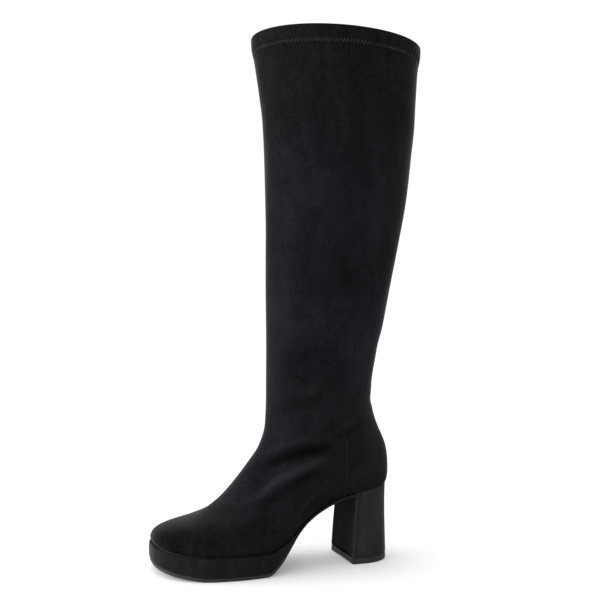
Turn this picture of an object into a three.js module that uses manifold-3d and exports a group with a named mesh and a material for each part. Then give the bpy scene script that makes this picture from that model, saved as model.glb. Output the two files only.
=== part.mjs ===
// Knee-high pull-on boot with a platform and a block heel, for the left foot.
// Millimetres while it is worked out: X runs to the toe, Y to the outer side, Z up from the floor.
import * as THREE from "three";
import Module from "manifold-3d";

const wasm = await Module();
wasm.setup();

// Sizes of the foot
const LENGTH = 225;
const BALL_WIDTH = 97;
const SEAT_HEIGHT = 72.6;
const ANKLE_HEIGHT = 150;
const LEG_AXIS = 68.5;

// Sizes of the shaft
const HEIGHT = 489;
const COLLAR_DEPTH = 171;
const COLLAR_WIDTH = 110;
const ANKLE_WIDTH = 68;
const HEM_DEPTH = 17;
const HEM_STEP = 0.7;

// Sizes of the bottom
const STACK = 19.4;
const OUTSOLE = 3;
const WAIST_OUTSOLE = 2.3;
const TOE_SPRING = 4.5;
const LEDGE = 2.4;
const PLATFORM_EDGE = 0.9;
const OUTSOLE_BEVEL = 1.2;
const TOP_PIECE = 5.7;
const TOP_PIECE_INSET = 0.2;
const TOP_PIECE_BEVEL = 0.6;
const HEEL_LENGTH = 41.5;
const HEEL_WIDTH = 57;
const HEEL_BACK = 5.0;
const HEEL_CORNER = 1.5;
const HEEL_ROUND = 0.72;
const BREAST_HOLLOW = 2;

// Walls and clearances
const WALL = 1.8;
const INSOLE = 2.4;
const GAP = 0.3;
const SEAM_PLACE = 53;
const SEAM_TOP = 114;
const SEAM_RAISE = 0.6;
const SEAM_WIDTH = 2.4;

// Fineness of the facets
const AROUND = 60;
const HOLLOW_AROUND = 44;
const INSOLE_AROUND = 96;
const EVENNESS = 0.12;
const STEPS_PER_ROW = 2;
const NOSE_START = 0.756;
const NOSE_STEPS = 12;
const SOLE_STEP = 0.0193;
const PLATFORM_STEPS = 15;
const BREAST_FACETS = 120;

// Height of the last's bottom along the foot: at and rise are shares of the length and of the seat's rise
const BOTTOM_ROWS = [
  { at: 0.000, rise: 1.070, spring: 0 },
  { at: 0.028, rise: 1.000, spring: 0 },
  { at: 0.058, rise: 0.942, spring: 0 },
  { at: 0.142, rise: 0.866, spring: 0 },
  { at: 0.200, rise: 0.820, spring: 0 },
  { at: 0.262, rise: 0.755, spring: 0 },
  { at: 0.333, rise: 0.630, spring: 0 },
  { at: 0.387, rise: 0.500, spring: 0 },
  { at: 0.440, rise: 0.322, spring: 0 },
  { at: 0.480, rise: 0.190, spring: 0 },
  { at: 0.529, rise: 0.070, spring: 0 },
  { at: 0.582, rise: 0.000, spring: 0 },
  { at: 0.800, rise: 0.000, spring: 0 },
  { at: 0.915, rise: 0.000, spring: 0.38 },
  { at: 1.010, rise: 0.000, spring: 1.00 },
];

// How much of the full stack lies under the last: none along the waist, all of it under the ball
const STACK_ROWS = [
  { at: 0.190, share: 0.00 },
  { at: 0.405, share: 0.02 },
  { at: 0.447, share: 0.11 },
  { at: 0.476, share: 0.31 },
  { at: 0.504, share: 0.56 },
  { at: 0.531, share: 0.79 },
  { at: 0.557, share: 0.94 },
  { at: 0.588, share: 1.00 },
  { at: 0.810, share: 1.00 },
  { at: 0.915, share: 0.95 },
  { at: 1.010, share: 0.86 },
];

// Plan of the last's bottom: shares of the ring's length, then shares of the ball width
const PLAN_ROWS = [
  { at: 0.00, axis: 0.000, outer: 0.292, inner: 0.292 },
  { at: 0.15, axis: 0.000, outer: 0.296, inner: 0.294 },
  { at: 0.28, axis: 0.000, outer: 0.303, inner: 0.276 },
  { at: 0.40, axis: 0.000, outer: 0.350, inner: 0.278 },
  { at: 0.50, axis: -0.002, outer: 0.438, inner: 0.322 },
  { at: 0.60, axis: -0.010, outer: 0.508, inner: 0.378 },
  { at: 0.70, axis: -0.026, outer: 0.546, inner: 0.418 },
  { at: 0.80, axis: -0.054, outer: 0.556, inner: 0.406 },
  { at: 0.90, axis: -0.084, outer: 0.545, inner: 0.388 },
  { at: 1.00, axis: -0.104, outer: 0.540, inner: 0.392 },
];

// Rings of the foot from the feather line to the ankle: front and back are shares of the length, up and
// lift are shares of the way from the last's bottom to the ankle.
const FOOT_RINGS = [
  { front: 0.987, up: 0.000, back: 0.0225, lift: 0.000 },
  { front: 0.994, up: 0.060, back: 0.0165, lift: 0.072 },
  { front: 0.987, up: 0.098, back: 0.0130, lift: 0.121 },
  { front: 0.965, up: 0.132, back: 0.0112, lift: 0.186 },
  { front: 0.923, up: 0.161, back: 0.0108, lift: 0.251 },
  { front: 0.862, up: 0.188, back: 0.0125, lift: 0.328 },
  { front: 0.793, up: 0.227, back: 0.0178, lift: 0.419 },
  { front: 0.726, up: 0.311, back: 0.0311, lift: 0.528 },
  { front: 0.662, up: 0.431, back: 0.0467, lift: 0.625 },
  { front: 0.611, up: 0.543, back: 0.0622, lift: 0.735 },
  { front: 0.564, up: 0.661, back: 0.0755, lift: 0.870 },
  { front: 0.538, up: 0.810, back: 0.0818, lift: 1.000 },
];

// Shape of the same rings: plan and sag say how much of the last's bottom still shows, half is the half
// width of the oval part, nose and tail are the lengths of the rounded ends, blunt squares them.
const FOOT_SHAPES = [
  { plan: 1.00, sag: 1.00, half: 0.330, nose: 0.22, tail: 0.14, blunt: 2.50 },
  { plan: 1.02, sag: 0.98, half: 0.350, nose: 0.23, tail: 0.15, blunt: 2.50 },
  { plan: 0.98, sag: 0.93, half: 0.380, nose: 0.24, tail: 0.16, blunt: 2.40 },
  { plan: 0.89, sag: 0.85, half: 0.400, nose: 0.26, tail: 0.18, blunt: 2.30 },
  { plan: 0.77, sag: 0.74, half: 0.405, nose: 0.29, tail: 0.20, blunt: 2.20 },
  { plan: 0.61, sag: 0.60, half: 0.405, nose: 0.33, tail: 0.23, blunt: 2.10 },
  { plan: 0.44, sag: 0.42, half: 0.400, nose: 0.38, tail: 0.27, blunt: 2.05 },
  { plan: 0.28, sag: 0.27, half: 0.392, nose: 0.42, tail: 0.32, blunt: 2.00 },
  { plan: 0.16, sag: 0.15, half: 0.382, nose: 0.46, tail: 0.38, blunt: 2.00 },
  { plan: 0.08, sag: 0.07, half: 0.372, nose: 0.48, tail: 0.43, blunt: 2.00 },
  { plan: 0.03, sag: 0.02, half: 0.362, nose: 0.50, tail: 0.46, blunt: 2.00 },
  { plan: 0.00, sag: 0.00, half: 0.354, nose: 0.50, tail: 0.48, blunt: 2.00 },
];

// Rings of the shaft. Up is the share of the shaft's height at the front and rear says how much higher
// the back is; front and back are shares of the collar's depth from the leg's axis; wide runs from the
// ankle's width to the collar's.
const SHAFT_RINGS = [
  { up: 0.006, rear: 0.036, front: 0.3010, back: 0.2980, wide: 0.00 },
  { up: 0.100, rear: 0.018, front: 0.3010, back: 0.3250, wide: 0.03 },
  { up: 0.195, rear: 0.006, front: 0.3010, back: 0.3680, wide: 0.14 },
  { up: 0.325, rear: 0.000, front: 0.3015, back: 0.4190, wide: 0.32 },
  { up: 0.444, rear: 0.000, front: 0.3030, back: 0.4660, wide: 0.48 },
  { up: 0.562, rear: 0.000, front: 0.3090, back: 0.5110, wide: 0.62 },
  { up: 0.680, rear: 0.000, front: 0.3130, back: 0.5430, wide: 0.76 },
  { up: 0.769, rear: 0.000, front: 0.3210, back: 0.5650, wide: 0.84 },
  { up: 0.843, rear: 0.000, front: 0.3400, back: 0.5720, wide: 0.91 },
  { up: 0.920, rear: 0.000, front: 0.3650, back: 0.5830, wide: 0.96 },
  { up: 1.000, rear: 0.000, front: 0.3890, back: 0.6050, wide: 1.00 },
];

// Plan of the heel block at shares of its height: where its back and breast lie, and its width
const HEEL_ROWS = [
  { up: 0.00, back: 0.000, breast: 0.020, width: 1.030 },
  { up: 0.16, back: 0.004, breast: 0.004, width: 1.022 },
  { up: 0.32, back: 0.009, breast: -0.010, width: 1.013 },
  { up: 0.50, back: 0.013, breast: -0.030, width: 1.000 },
  { up: 0.68, back: 0.014, breast: -0.052, width: 0.995 },
  { up: 0.85, back: 0.009, breast: -0.075, width: 0.995 },
  { up: 1.00, back: 0.000, breast: -0.095, width: 1.000 },
];

// Sides of the platform and the outsole: up is the share of the thickness, draw how far the edge is drawn in
const PLATFORM_ROWS = [
  { up: 0.00, draw: 1.0 },
  { up: 0.08, draw: 0.3 },
  { up: 0.25, draw: 0.0 },
  { up: 0.92, draw: 0.0 },
  { up: 1.00, draw: 0.5 },
];
const OUTSOLE_ROWS = [
  { up: 0.0, draw: 1.0 },
  { up: 0.3, draw: 0.3 },
  { up: 1.0, draw: 0.0 },
];

/** Smooth curve through knots that never overshoots them. */
function track(xs, ys) {
  const last = xs.length - 1;
  const rates = xs.slice(1).map((x, i) => (ys[i + 1] - ys[i]) / (x - xs[i]));
  const slopes = xs.map((x, i) => {
    if (i === 0 || i === last) {
      return rates[Math.min(i, last - 1)];
    }
    const product = rates[i - 1] * rates[i];
    return product > 0 ? (2 * product) / (rates[i - 1] + rates[i]) : 0;
  });
  return (x) => {
    let i = 0;
    while (i < last - 1 && x > xs[i + 1]) {
      i += 1;
    }
    const span = xs[i + 1] - xs[i];
    const t = (x - xs[i]) / span;
    if (t <= 0) {
      return ys[i] + slopes[i] * t * span;
    }
    if (t >= 1) {
      return ys[i + 1] + slopes[i + 1] * (t - 1) * span;
    }
    const rest = 1 - t;
    return (
      ys[i] * rest * rest * (1 + 2 * t) +
      ys[i + 1] * t * t * (3 - 2 * t) +
      span * t * rest * (slopes[i] * rest - slopes[i + 1] * t)
    );
  };
}

/** One curve for each column of a table, over the column named by key. */
function tracks(rows, key) {
  const xs = rows.map((row) => row[key]);
  const columns = Object.keys(rows[0]).filter((name) => name !== key);
  return Object.fromEntries(columns.map((name) => [name, track(xs, rows.map((row) => row[name]))]));
}

const bottom = tracks(BOTTOM_ROWS, "at");
const stack = tracks(STACK_ROWS, "at");
const plan = tracks(PLAN_ROWS, "at");
const heelRows = tracks(HEEL_ROWS, "up");

/** Height of the feather line, where the upper's lower edge lies. */
function featherHeight(x) {
  const at = x / LENGTH;
  return STACK + (SEAT_HEIGHT - STACK) * bottom.rise(at) + TOE_SPRING * bottom.spring(at);
}

/** Height at which what lies under the last ends, a clearance away from the feather line. */
function seatHeight(x) {
  const slope = featherHeight(x + 0.5) - featherHeight(x - 0.5);
  return featherHeight(x) - GAP * Math.hypot(1, slope);
}

/** Height of the outsole's lower face. */
function underHeight(x) {
  return featherHeight(x) - WAIST_OUTSOLE - GAP - (STACK - WAIST_OUTSOLE - GAP) * stack.share(x / LENGTH);
}

/** Height of the outsole's upper face: a full outsole, or what fits under the last along the waist. */
function outsoleTop(x) {
  const slope = underHeight(x + 0.5) - underHeight(x - 0.5);
  return Math.min(underHeight(x) + OUTSOLE * Math.hypot(1, slope), seatHeight(x));
}

/** Rounded end of an outline: 0 at the tip and 1 once the end's length is passed. */
function roundEnd(distance, length, blunt) {
  const short = Math.max(0, 1 - distance / length);
  return Math.pow(Math.max(0, 1 - Math.pow(short, blunt)), 1 / blunt);
}

const FOOT_BACK = FOOT_RINGS[0].back * LENGTH;
const FOOT_FRONT = FOOT_RINGS[0].front * LENGTH;

/** Rings of the whole upper in millimetres, from the feather line to the collar. */
const rings = [
  ...FOOT_RINGS.map((row, i) => ({
    ...FOOT_SHAPES[i],
    front: row.front * LENGTH,
    back: row.back * LENGTH,
    frontUp: STACK + row.up * (ANKLE_HEIGHT - STACK),
    backUp: SEAT_HEIGHT + row.lift * (ANKLE_HEIGHT - SEAT_HEIGHT),
    half: FOOT_SHAPES[i].half * BALL_WIDTH,
  })),
  ...SHAFT_RINGS.map((row) => ({
    front: LEG_AXIS + row.front * COLLAR_DEPTH,
    back: LEG_AXIS - row.back * COLLAR_DEPTH,
    frontUp: ANKLE_HEIGHT + row.up * (HEIGHT - ANKLE_HEIGHT),
    backUp: ANKLE_HEIGHT + (row.up + row.rear) * (HEIGHT - ANKLE_HEIGHT),
    half: (ANKLE_WIDTH + row.wide * (COLLAR_WIDTH - ANKLE_WIDTH)) / 2,
    plan: 0,
    sag: 0,
    nose: 0.5,
    tail: 0.5,
    blunt: 2,
  })),
].map((row, index) => ({ index, ...row }));
rings[0].frontUp = featherHeight(FOOT_FRONT);
rings[0].backUp = featherHeight(FOOT_BACK);
const TOP_RING = rings.length - 1;
const ring = tracks(
  rings.map(({ index, front, back, frontUp, backUp, half, plan: share, sag, nose, tail, blunt }) => (
    { index, front, back, frontUp, backUp, half, plan: share, sag, nose, tail, blunt })),
  "index",
);

/** How far the last's bottom hangs below a straight line from toe to heel, at a share of the length. */
function bottomSag(share) {
  const straight = rings[0].backUp + (rings[0].frontUp - rings[0].backUp) * share;
  return featherHeight(FOOT_BACK + (FOOT_FRONT - FOOT_BACK) * share) - straight;
}

/** Point of the upper's plain outer face on a ring, at an angle from the toe round by the outer side. */
function bareUpper(level, angle) {
  const share = (1 + Math.cos(angle)) / 2;
  const side = Math.sin(angle) >= 0 ? 1 : -1;
  const front = ring.front(level);
  const back = ring.back(level);
  const depth = front - back;
  const blunt = ring.blunt(level);
  const ends = roundEnd((1 - share) * depth, ring.nose(level) * depth, blunt)
    * roundEnd(share * depth, ring.tail(level) * depth, blunt);
  const foot = ring.plan(level);
  const width = BALL_WIDTH * (side > 0 ? plan.outer(share) : plan.inner(share));
  const reach = foot * width + (1 - foot) * ring.half(level);
  const straight = ring.backUp(level) + (ring.frontUp(level) - ring.backUp(level)) * share;
  return new THREE.Vector3(
    back + depth * share,
    BALL_WIDTH * plan.axis(share) * foot + side * reach * ends,
    straight + ring.sag(level) * bottomSag(share),
  );
}

/** Outward direction of the upper's outer face. */
function upperNormal(level, angle) {
  const low = Math.max(0, level - 0.05);
  const high = Math.min(TOP_RING, level + 0.05);
  const turn = 0.01;
  const along = bareUpper(level, angle + turn).sub(bareUpper(level, angle - turn));
  const climb = bareUpper(high, angle).sub(bareUpper(low, angle));
  return along.cross(climb).normalize();
}

/** Point at a distance outside the upper's outer face; negative distances lie inside it. */
function upperPoint(level, angle, out) {
  return bareUpper(level, angle).addScaledVector(upperNormal(level, angle), out);
}

/** Turns a triangle list into a manifold solid. */
function solid(points, faces) {
  const vertProperties = new Float32Array(points.flatMap((p) => [p.x, p.y, p.z]));
  const triVerts = new Uint32Array(faces.flat());
  return new wasm.Manifold(new wasm.Mesh({ numProp: 3, vertProperties, triVerts }));
}

/** Solid through closed rings of equal count, closed at both ends by rungs from side to side. */
function loft(loops) {
  const count = loops[0].length;
  const faces = [];
  for (let row = 0; row + 1 < loops.length; row += 1) {
    for (let i = 0; i < count; i += 1) {
      const a = row * count + i;
      const b = row * count + ((i + 1) % count);
      faces.push([a, b, b + count], [a, b + count, a + count]);
    }
  }
  const cap = (start, flip) => {
    for (let i = 0; i < count / 2; i += 1) {
      const quad = [i, i + 1, (count - i - 1) % count, (count - i) % count].map((k) => start + k);
      for (const face of [[quad[0], quad[1], quad[2]], [quad[0], quad[2], quad[3]]]) {
        if (new Set(face).size === 3) {
          faces.push(flip ? face : [face[0], face[2], face[1]]);
        }
      }
    }
  };
  cap(0, false);
  cap((loops.length - 1) * count, true);
  return solid(loops.flat(), faces);
}

/** Angles of one ring's points, a little closer together along its sides than at its ends. */
function spread(count) {
  return Array.from({ length: count }, (unused, i) => {
    const turn = (2 * Math.PI * i) / count;
    return turn + EVENNESS * Math.sin(2 * turn);
  });
}

const angles = spread(AROUND);

/** Ring index at which the front of the shaft reaches a height. */
function levelAt(height) {
  let low = 0;
  let high = TOP_RING;
  for (let turn = 0; turn < 40; turn += 1) {
    const middle = (low + high) / 2;
    if (ring.frontUp(middle) < height) {
      low = middle;
    } else {
      high = middle;
    }
  }
  return low;
}

/** The upper's outer form, grown by a distance, with the hem's step near the collar. */
function upperForm(out) {
  const hem = levelAt(HEIGHT - HEM_DEPTH);
  const levels = Array.from({ length: TOP_RING * STEPS_PER_ROW + 1 }, (unused, i) => i / STEPS_PER_ROW)
    .filter((level) => Math.abs(level - hem) > 0.2 || level > TOP_RING - 0.01)
    .map((level) => ({ level, step: level > hem ? HEM_STEP : 0 }));
  levels.push({ level: hem - 0.02, step: 0 }, { level: hem + 0.02, step: HEM_STEP });
  levels.sort((a, b) => a.level - b.level);
  return loft(levels.map(({ level, step }) => angles.map((angle) => upperPoint(level, angle, out + step))));
}

/** The space inside the upper, run out through its lower opening and through its collar. */
function upperHollow() {
  const levels = Array.from({ length: TOP_RING + 1 }, (unused, i) => i);
  const around = spread(HOLLOW_AROUND);
  const loops = levels.map((level) => around.map((angle) => upperPoint(level, angle, -WALL)));
  const below = loops[0].map((p) => p.clone().setZ(p.z - 4 * WALL));
  const above = loops[TOP_RING].map((p) => p.clone().setZ(p.z + 4 * WALL));
  return loft([below, ...loops, above]);
}

/** Upright slab where the raised side seams stand on both sides of the heel part. */
function seamSlab() {
  const low = featherHeight(SEAM_PLACE) - STACK;
  const slab = new THREE.BoxGeometry(SEAM_WIDTH, BALL_WIDTH, SEAM_TOP - low);
  slab.translate(SEAM_PLACE, 0, (SEAM_TOP + low) / 2);
  return fromGeometry(slab);
}

/** Manifold solid of a plain geometry. */
function fromGeometry(geometry) {
  const position = geometry.getAttribute("position");
  const seen = new Map();
  const points = [];
  const index = Array.from({ length: position.count }, (unused, i) => {
    const p = new THREE.Vector3().fromBufferAttribute(position, i);
    const key = p.toArray().map((value) => value.toFixed(5)).join();
    if (!seen.has(key)) {
      seen.set(key, points.length);
      points.push(p);
    }
    return seen.get(key);
  });
  const order = geometry.index ? Array.from(geometry.index.array) : index.map((unused, i) => i);
  const faces = [];
  for (let i = 0; i < order.length; i += 3) {
    const face = [index[order[i]], index[order[i + 1]], index[order[i + 2]]];
    if (new Set(face).size === 3) {
      faces.push(face);
    }
  }
  return solid(points, faces);
}

/** Sideways place of the last's edge at a length x, pushed outwards by a distance. */
function edgePlace(x, side, out) {
  const share = Math.min(1, (x - FOOT_BACK) / (FOOT_FRONT - FOOT_BACK));
  const row = FOOT_SHAPES[0];
  const nose = row.nose * (FOOT_FRONT - FOOT_BACK) + out;
  const width = BALL_WIDTH * (side > 0 ? plan.outer(share) : plan.inner(share));
  return BALL_WIDTH * plan.axis(share) + side * (width + out) * roundEnd(FOOT_FRONT + out - x, nose, row.blunt);
}

/** Lengths at which the sole's edge is worked out, from its toe tip back to where it starts. */
function soleStations(start, out) {
  const tip = FOOT_FRONT + out;
  const bend = NOSE_START * LENGTH;
  const nose = Array.from({ length: NOSE_STEPS + 1 }, (unused, i) => (
    tip - (tip - bend) * (1 - Math.cos((Math.PI * i) / (2 * NOSE_STEPS)))
  ));
  const body = [];
  for (let x = bend - SOLE_STEP * LENGTH; x > start + GAP; x -= SOLE_STEP * LENGTH) {
    body.push(x);
  }
  return [...nose, ...body, start];
}

/** One loop of the sole's edge between two lengths, at heights given by a function of x. */
function soleLoop(start, out, height) {
  const xs = soleStations(start, out);
  const outer = xs.map((x) => new THREE.Vector3(x, edgePlace(x, 1, out), height(x)));
  const inner = xs.slice(1).reverse().map((x) => new THREE.Vector3(x, edgePlace(x, -1, out), height(x)));
  return [...outer, ...inner];
}

/** Platform block: full ledge near its top, drawn in with a rounded lower edge. */
function makePlatform() {
  const start = LENGTH * (NOSE_START - PLATFORM_STEPS * SOLE_STEP);
  const low = (x) => outsoleTop(x) + featherHeight(x) - seatHeight(x);
  return loft(PLATFORM_ROWS.map(({ up, draw }) => (
    soleLoop(start, LEDGE - PLATFORM_EDGE * draw, (x) => low(x) + (seatHeight(x) - low(x)) * up)
  )));
}

/** Outsole: a thin sheet under the platform, up its rear slope and along the waist to the breast. */
function makeOutsole() {
  const start = HEEL_BACK + HEEL_LENGTH * (1 + heelRows.breast(1)) + GAP;
  const edge = LEDGE - PLATFORM_EDGE;
  return loft(OUTSOLE_ROWS.map(({ up, draw }) => (
    soleLoop(start, edge - OUTSOLE_BEVEL * draw, (x) => underHeight(x) + (outsoleTop(x) - underHeight(x)) * up)
  )));
}

/** One loop of the heel at a share of its height. */
function heelLoop(share, inset, height) {
  const back = HEEL_BACK + HEEL_LENGTH * heelRows.back(share) + inset;
  const breast = HEEL_BACK + HEEL_LENGTH * (1 + heelRows.breast(share)) - inset;
  const depth = breast - back;
  return angles.map((angle) => {
    const along = (1 + Math.cos(angle)) / 2;
    const side = Math.sin(angle) >= 0 ? 1 : -1;
    const ends = roundEnd((1 - along) * depth, HEEL_CORNER, 3) * roundEnd(along * depth, depth * HEEL_ROUND, 2);
    const x = back + depth * along;
    return new THREE.Vector3(x, side * (HEEL_WIDTH / 2 * heelRows.width(share) - inset) * ends, height(x));
  });
}

/** Round form, leaning as the breast does, that hollows the heel's breast. */
function breastCutter() {
  const half = HEEL_WIDTH / 2;
  const radius = (half * half + BREAST_HOLLOW * BREAST_HOLLOW) / (2 * BREAST_HOLLOW);
  const cutter = new THREE.CylinderGeometry(radius, radius, SEAT_HEIGHT * 3, BREAST_FACETS);
  cutter.rotateX(Math.PI / 2);
  cutter.translate(HEEL_BACK + HEEL_LENGTH - BREAST_HOLLOW + radius, 0, 0);
  const lean = (HEEL_LENGTH * (heelRows.breast(1) - heelRows.breast(0))) / SEAT_HEIGHT;
  return fromGeometry(cutter.applyMatrix4(new THREE.Matrix4().makeShear(0, 0, 0, 0, lean, 0)));
}

/** Heel block between the top piece and the seat. */
function makeHeel() {
  const low = TOP_PIECE + GAP;
  const loops = HEEL_ROWS.map(({ up }) => heelLoop(up, 0, (x) => low + (seatHeight(x) - low) * up));
  return loft(loops).subtract(breastCutter());
}

/** Top piece that the heel stands on. */
function makeTopPiece() {
  return loft([
    heelLoop(0, TOP_PIECE_INSET + TOP_PIECE_BEVEL, () => 0),
    heelLoop(0, TOP_PIECE_INSET, () => TOP_PIECE_BEVEL),
    heelLoop(0, TOP_PIECE_INSET, () => TOP_PIECE),
  ]).subtract(breastCutter());
}

/** Insole that lies in the upper's lower opening. */
function makeInsole() {
  const inset = WALL + GAP * 2.5;
  const loop = (height) => spread(INSOLE_AROUND).map((angle) => {
    const edge = upperPoint(0, angle, 0);
    const inner = upperPoint(0, angle, -inset);
    const flat = new THREE.Vector3(inner.x, inner.y, 0);
    const away = new THREE.Vector3(inner.x - edge.x, inner.y - edge.y, 0);
    const short = inset - away.length();
    flat.addScaledVector(away.normalize(), Math.max(0, short));
    return flat.setZ(featherHeight(flat.x) + height);
  });
  return loft([loop(GAP / 2), loop(GAP / 2 + INSOLE)]);
}

/** Named mesh of a manifold solid. */
function meshOf(name, form, colour, roughness) {
  const mesh = form.getMesh();
  const geometry = new THREE.BufferGeometry();
  geometry.setAttribute("position", new THREE.BufferAttribute(new Float32Array(mesh.vertProperties), 3));
  geometry.setIndex(new THREE.BufferAttribute(new Uint32Array(mesh.triVerts), 1));
  geometry.computeVertexNormals();
  const material = new THREE.MeshStandardMaterial({ color: colour, roughness, metalness: 0 });
  const item = new THREE.Mesh(geometry, material);
  item.name = name;
  return item;
}

const plainUpper = upperForm(0);
const seams = upperForm(SEAM_RAISE).intersect(seamSlab());
const upper = plainUpper.add(seams).subtract(upperHollow());

const group = new THREE.Group();
group.add(
  meshOf("upper", upper, 0x19191b, 0.95),
  meshOf("insole", makeInsole(), 0x2a2a2c, 0.9),
  meshOf("platform", makePlatform(), 0x19191b, 0.95),
  meshOf("outsole", makeOutsole(), 0x101012, 0.5),
  meshOf("heel", makeHeel(), 0x19191b, 0.95),
  meshOf("top_piece", makeTopPiece(), 0x101012, 0.6),
);

const box = new THREE.Box3().setFromObject(group);
group.position.set(-(box.min.x + box.max.x) / 2, -(box.min.y + box.max.y) / 2, -box.min.z);
group.updateMatrixWorld(true);

export default group;
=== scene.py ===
"""Knee-high pull-on boot in black microsuede, for the left foot, on a pale studio floor.

Shapes are worked out in millimetres, with X to the toe from near the heel's back, Y to the outer side and
Z up from the floor, from the same sizes and tables as the solids. They are then put in the frame's metres.
"""
import logging
import math
from dataclasses import dataclass
from enum import Enum
from types import SimpleNamespace
from typing import Callable, Mapping, NamedTuple, Sequence

import bmesh
import bpy
import numpy as np
from mathutils import Matrix, Vector

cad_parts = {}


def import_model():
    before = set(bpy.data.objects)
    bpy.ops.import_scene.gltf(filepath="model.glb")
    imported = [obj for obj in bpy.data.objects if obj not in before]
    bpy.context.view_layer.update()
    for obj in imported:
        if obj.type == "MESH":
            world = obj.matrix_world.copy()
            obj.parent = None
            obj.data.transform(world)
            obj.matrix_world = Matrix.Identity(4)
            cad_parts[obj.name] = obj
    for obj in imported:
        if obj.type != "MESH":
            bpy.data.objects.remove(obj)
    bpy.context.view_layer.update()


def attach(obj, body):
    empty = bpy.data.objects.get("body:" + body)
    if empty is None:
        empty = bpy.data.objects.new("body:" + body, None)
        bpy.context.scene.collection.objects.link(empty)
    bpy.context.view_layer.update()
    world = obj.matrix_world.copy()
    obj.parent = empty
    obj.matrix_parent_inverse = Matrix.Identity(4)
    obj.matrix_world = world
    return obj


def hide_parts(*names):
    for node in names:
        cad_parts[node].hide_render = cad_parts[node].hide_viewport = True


LOG = logging.getLogger("boot")

Colour = tuple[float, float, float]
Place = tuple[float, float, float]
Patch = tuple[Place, float, float]
Table = Mapping[str, Sequence[float]]
Heights = Callable[[np.ndarray, float], np.ndarray]

# A millimetre in metres, the length at which the frame's origin lies, and how near points are joined
METRE = 0.001
FRAME_X = 94.413
MERGE = 2e-6
# Name of the vertex attribute that keeps painted light: painted highlight above 0, painted shade below 0
PAINTED_LIGHT_KEY = "painted_light"
WHITE = (1.0, 1.0, 1.0, 1.0)

# Height of the last's bottom along the foot: shares of the length, of the seat's rise and of the toe spring
BOTTOM_ROWS: Table = {
    "at": (0, 0.028, 0.058, 0.142, 0.2, 0.262, 0.333, 0.387, 0.44, 0.48, 0.529, 0.582, 0.8, 0.915, 1.01),
    "rise": (1.07, 1, 0.942, 0.866, 0.82, 0.755, 0.63, 0.5, 0.322, 0.19, 0.07, 0, 0, 0, 0),
    "spring": (0, 0, 0, 0, 0, 0, 0, 0, 0, 0, 0, 0, 0, 0.38, 1),
}

# Share of the full stack that lies under the last: none along the waist, all of it under the ball
STACK_ROWS: Table = {
    "at": (0.19, 0.405, 0.447, 0.476, 0.504, 0.531, 0.557, 0.588, 0.81, 0.915, 1.01),
    "share": (0, 0.02, 0.11, 0.31, 0.56, 0.79, 0.94, 1, 1, 0.95, 0.86),
}

# Plan of the last's bottom: shares of the ring's length, then shares of the ball width
PLAN_ROWS: Table = {
    "at": (0, 0.15, 0.28, 0.4, 0.5, 0.6, 0.7, 0.8, 0.9, 1),
    "axis": (0, 0, 0, 0, -0.002, -0.01, -0.026, -0.054, -0.084, -0.104),
    "outer": (0.292, 0.296, 0.303, 0.35, 0.438, 0.508, 0.546, 0.556, 0.545, 0.54),
    "inner": (0.292, 0.294, 0.276, 0.278, 0.322, 0.378, 0.418, 0.406, 0.388, 0.392),
}

# Rings of the foot, from the feather line to the ankle
FOOT_RINGS: Table = {
    "front": (0.987, 0.994, 0.987, 0.965, 0.923, 0.862, 0.793, 0.726, 0.662, 0.611, 0.564, 0.538),
    "up": (0, 0.06, 0.098, 0.132, 0.161, 0.188, 0.227, 0.311, 0.431, 0.543, 0.661, 0.81),
    "back": (0.0225, 0.0165, 0.013, 0.0112, 0.0108, 0.0125, 0.0178, 0.0311, 0.0467, 0.0622, 0.0755, 0.0818),
    "lift": (0, 0.072, 0.121, 0.186, 0.251, 0.328, 0.419, 0.528, 0.625, 0.735, 0.87, 1),
    "plan": (1, 1.02, 0.98, 0.89, 0.77, 0.61, 0.44, 0.28, 0.16, 0.08, 0.03, 0),
    "sag": (1, 0.98, 0.93, 0.85, 0.74, 0.6, 0.42, 0.27, 0.15, 0.07, 0.02, 0),
    "half": (0.33, 0.35, 0.38, 0.4, 0.405, 0.405, 0.4, 0.392, 0.382, 0.372, 0.362, 0.354),
    "nose": (0.22, 0.23, 0.24, 0.26, 0.29, 0.33, 0.38, 0.42, 0.46, 0.48, 0.5, 0.5),
    "tail": (0.14, 0.15, 0.16, 0.18, 0.2, 0.23, 0.27, 0.32, 0.38, 0.43, 0.46, 0.48),
    "blunt": (2.5, 2.5, 2.4, 2.3, 2.2, 2.1, 2.05, 2, 2, 2, 2, 2),
}

# Rings of the shaft, from the ankle to the collar
SHAFT_RINGS: Table = {
    "up": (0.006, 0.1, 0.195, 0.325, 0.444, 0.562, 0.68, 0.769, 0.843, 0.92, 1),
    "rear": (0.036, 0.018, 0.006, 0, 0, 0, 0, 0, 0, 0, 0),
    "front": (0.301, 0.301, 0.301, 0.3015, 0.303, 0.309, 0.313, 0.321, 0.34, 0.365, 0.389),
    "back": (0.298, 0.325, 0.368, 0.419, 0.466, 0.511, 0.543, 0.565, 0.572, 0.583, 0.605),
    "wide": (0, 0.03, 0.14, 0.32, 0.48, 0.62, 0.76, 0.84, 0.91, 0.96, 1),
}

# Plan of the heel block at shares of its height
HEEL_ROWS: Table = {
    "up": (0, 0.16, 0.32, 0.5, 0.68, 0.85, 1),
    "back": (0, 0.004, 0.009, 0.013, 0.014, 0.009, 0),
    "breast": (0.02, 0.004, -0.01, -0.03, -0.052, -0.075, -0.095),
    "width": (1.03, 1.022, 1.013, 1, 0.995, 0.995, 1),
}

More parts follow.
